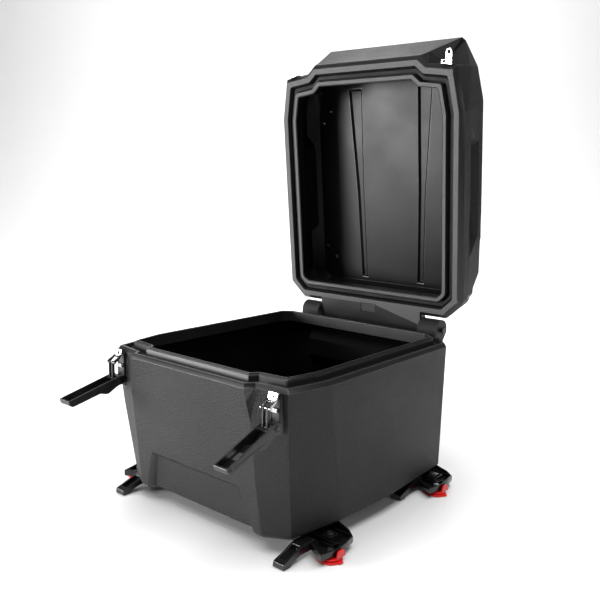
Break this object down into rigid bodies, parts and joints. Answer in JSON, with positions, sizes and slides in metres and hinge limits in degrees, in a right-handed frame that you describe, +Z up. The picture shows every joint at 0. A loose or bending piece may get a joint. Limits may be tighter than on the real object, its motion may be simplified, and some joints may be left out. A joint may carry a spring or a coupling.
{
  "type": "rigid motorcycle cargo box",
  "caption": "Hard black cargo box for a rack: deep moulded tub, hinged gasketed lid, over-centre draw latches with padlock eyes, and quick-lock feet with red turn locks.",
  "frame": {"origin": "on the floor, under the middle of the open box's bounding box", "axes": "+X to the box's own right side as seen from the front, +Y from the latches towards the hinge, +Z up"},
  "size_m": [0.535, 0.735, 0.8834],
  "materials": {
    "body_plastic": "textured, satin black",
    "moulded_nylon": "moulded satin black",
    "gloss_nylon": "polished black",
    "seal_rubber": "soft black foam skin",
    "chromed_steel": "bright chrome plate",
    "plated_steel": "zinc plated",
    "lock_red": "red moulded nylon"
  },
  "bodies": {
    "tub": {"tub": "body_plastic", "hinge_rod": "plated_steel", "hinge_cap_right": "moulded_nylon", "hinge_cap_left": "moulded_nylon", "latch_base_right": "moulded_nylon", "latch_pivot_pin_right": "chromed_steel", "latch_base_left": "moulded_nylon", "latch_pivot_pin_left": "chromed_steel", "foot_front_right": "gloss_nylon", "foot_screw_front_right": "plated_steel", "foot_front_left": "gloss_nylon", "foot_screw_front_left": "plated_steel", "foot_rear_right": "gloss_nylon", "foot_screw_rear_right": "plated_steel", "foot_rear_left": "gloss_nylon", "foot_screw_rear_left": "plated_steel"},
    "lid": {"lid_shell": "body_plastic", "lid_gasket": "seal_rubber", "lid_blank_plate": "moulded_nylon", "lid_stud_right_1": "moulded_nylon", "lid_stud_right_2": "moulded_nylon", "lid_stud_right_3": "moulded_nylon", "lid_stud_right_4": "moulded_nylon", "latch_keeper_right": "chromed_steel", "latch_staple_right": "chromed_steel", "lid_stud_left_1": "moulded_nylon", "lid_stud_left_2": "moulded_nylon", "lid_stud_left_3": "moulded_nylon", "lid_stud_left_4": "moulded_nylon", "latch_keeper_left": "chromed_steel", "latch_staple_left": "chromed_steel"},
    "lever_right": {"latch_lever_right": "moulded_nylon", "latch_tip_pin_right": "chromed_steel"},
    "link_right": {"latch_link_right": "moulded_nylon"},
    "hook_right": {"latch_hook_right": "chromed_steel", "latch_hook_pin_right": "chromed_steel", "latch_rivet_right": "chromed_steel"},
    "lever_left": {"latch_lever_left": "moulded_nylon", "latch_tip_pin_left": "chromed_steel"},
    "link_left": {"latch_link_left": "moulded_nylon"},
    "hook_left": {"latch_hook_left": "chromed_steel", "latch_hook_pin_left": "chromed_steel", "latch_rivet_left": "chromed_steel"},
    "lock_front_right": {"lock_knob_front_right": "lock_red", "lock_spindle_front_right": "plated_steel"},
    "lock_front_left": {"lock_knob_front_left": "lock_red", "lock_spindle_front_left": "plated_steel"},
    "lock_rear_right": {"lock_knob_rear_right": "lock_red", "lock_spindle_rear_right": "plated_steel"},
    "lock_rear_left": {"lock_knob_rear_left": "lock_red", "lock_spindle_rear_left": "plated_steel"}
  },
  "joints": [
    {"name": "lid_hinge", "type": "hinge", "parent": "tub", "child": "lid", "pos_m": [0, 0.27885, 0.2975], "axis": [1, 0, 0], "range_deg": [0, 84]},
    {"name": "lever_right_pivot", "type": "hinge", "parent": "tub", "child": "lever_right", "pos_m": [0.19, -0.25705, 0.2325], "axis": [-1, 0, 0], "range_deg": [0, 109.5]},
    {"name": "link_right_pivot", "type": "hinge", "parent": "lever_right", "child": "link_right", "pos_m": [0.19, -0.26887, 0.23415], "axis": [1, 0, 0], "range_deg": [0, 130]},
    {"name": "hook_right_pivot", "type": "hinge", "parent": "link_right", "child": "hook_right", "pos_m": [0.19, -0.26887, 0.26415], "axis": [1, 0, 0], "range_deg": [0, 18]},
    {"name": "lever_left_pivot", "type": "hinge", "parent": "tub", "child": "lever_left", "pos_m": [-0.19, -0.25705, 0.2325], "axis": [-1, 0, 0], "range_deg": [0, 100.5]},
    {"name": "link_left_pivot", "type": "hinge", "parent": "lever_left", "child": "link_left", "pos_m": [-0.19, -0.26847, 0.23598], "axis": [1, 0, 0], "range_deg": [0, 120]},
    {"name": "hook_left_pivot", "type": "hinge", "parent": "link_left", "child": "hook_left", "pos_m": [-0.19, -0.26847, 0.26598], "axis": [1, 0, 0], "range_deg": [0, 18]},
    {"name": "lock_front_right_turn", "type": "hinge", "parent": "tub", "child": "lock_front_right", "pos_m": [0.244, -0.16985, 0.008], "axis": [0, 0, 1], "range_deg": [0, 90]},
    {"name": "lock_front_left_turn", "type": "hinge", "parent": "tub", "child": "lock_front_left", "pos_m": [-0.244, -0.16985, 0.008], "axis": [0, 0, 1], "range_deg": [0, 90]},
    {"name": "lock_rear_right_turn", "type": "hinge", "parent": "tub", "child": "lock_rear_right", "pos_m": [0.244, 0.16715, 0.008], "axis": [0, 0, 1], "range_deg": [0, 90]},
    {"name": "lock_rear_left_turn", "type": "hinge", "parent": "tub", "child": "lock_rear_left", "pos_m": [-0.244, 0.16715, 0.008], "axis": [0, 0, 1], "range_deg": [0, 90]}
  ],
  "couplings": [
    {"joint": "link_right_pivot", "follows": "lever_right_pivot", "ratio": 1.18},
    {"joint": "hook_right_pivot", "follows": "lever_right_pivot", "ratio": 0.16},
    {"joint": "link_left_pivot", "follows": "lever_left_pivot", "ratio": 1.18},
    {"joint": "hook_left_pivot", "follows": "lever_left_pivot", "ratio": 0.16}
  ]
}
